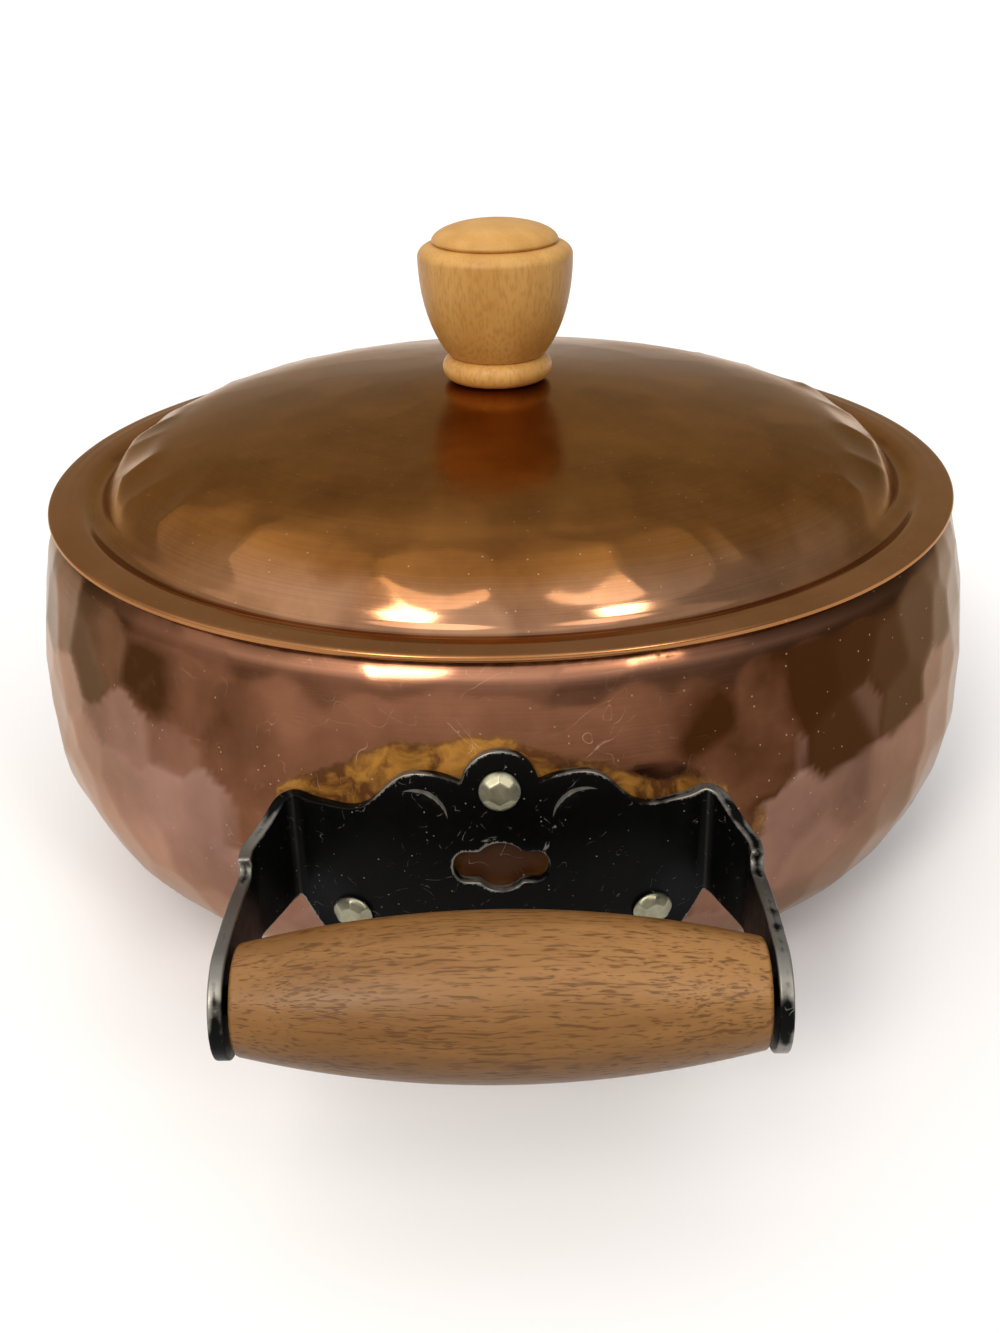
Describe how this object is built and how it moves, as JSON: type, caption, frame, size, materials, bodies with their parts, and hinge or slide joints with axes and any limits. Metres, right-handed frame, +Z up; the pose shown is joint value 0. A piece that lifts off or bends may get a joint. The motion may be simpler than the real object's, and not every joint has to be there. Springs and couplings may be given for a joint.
{
  "type": "copper casserole",
  "caption": "Hammered copper casserole, round belly on a flat base, with a domed lift-off lid, a turned wooden knob and black steel side handles with barrel wood grips",
  "frame": {"origin": "middle of the pot's flat base, on the surface it stands on", "axes": "+Z up along the pot's axis; the handles lie along -Y (front, as pictured) and +Y (rear); X runs along the grips"},
  "size_m": [0.2312, 0.3376, 0.1527],
  "materials": {
    "hammered_copper": "bare copper planished with a hammer, pinkish, with brown use marks; tinned inside",
    "browned_copper": "bare copper browned by heat and handling, hammered band near the edge; tinned inside",
    "pale_wood": "turned close-grained pale wood, oiled",
    "brown_wood": "turned medium brown hardwood with short open pores, oiled",
    "black_steel": "black enamel on steel sheet, worn bright along its edges",
    "bare_steel": "bare steel, dull",
    "rivet_metal": "tinned, hammered to flat facets"
  },
  "bodies": {
    "pot": {"pot_bowl": "hammered_copper", "front_bracket": "black_steel", "rear_bracket": "black_steel", "front_rivet_top": "rivet_metal", "front_rivet_left": "rivet_metal", "front_rivet_right": "rivet_metal", "rear_rivet_top": "rivet_metal", "rear_rivet_left": "rivet_metal", "rear_rivet_right": "rivet_metal", "front_grip_rod": "bare_steel", "rear_grip_rod": "bare_steel"},
    "lid": {"lid_shell": "browned_copper", "lid_knob": "pale_wood", "knob_screw": "bare_steel", "knob_washer": "bare_steel"},
    "front_grip": {"front_grip": "brown_wood"},
    "rear_grip": {"rear_grip": "brown_wood"}
  },
  "joints": [
    {"name": "lid_lift", "type": "slide", "parent": "pot", "child": "lid", "axis": [0, 0, 1], "range_m": [0, 0.1]},
    {"name": "front_grip_turn", "type": "hinge", "parent": "pot", "child": "front_grip", "pos_m": [0, -0.154, 0.05], "axis": [1, 0, 0], "continuous": true},
    {"name": "rear_grip_turn", "type": "hinge", "parent": "pot", "child": "rear_grip", "pos_m": [0, 0.154, 0.05], "axis": [1, 0, 0], "continuous": true}
  ]
}
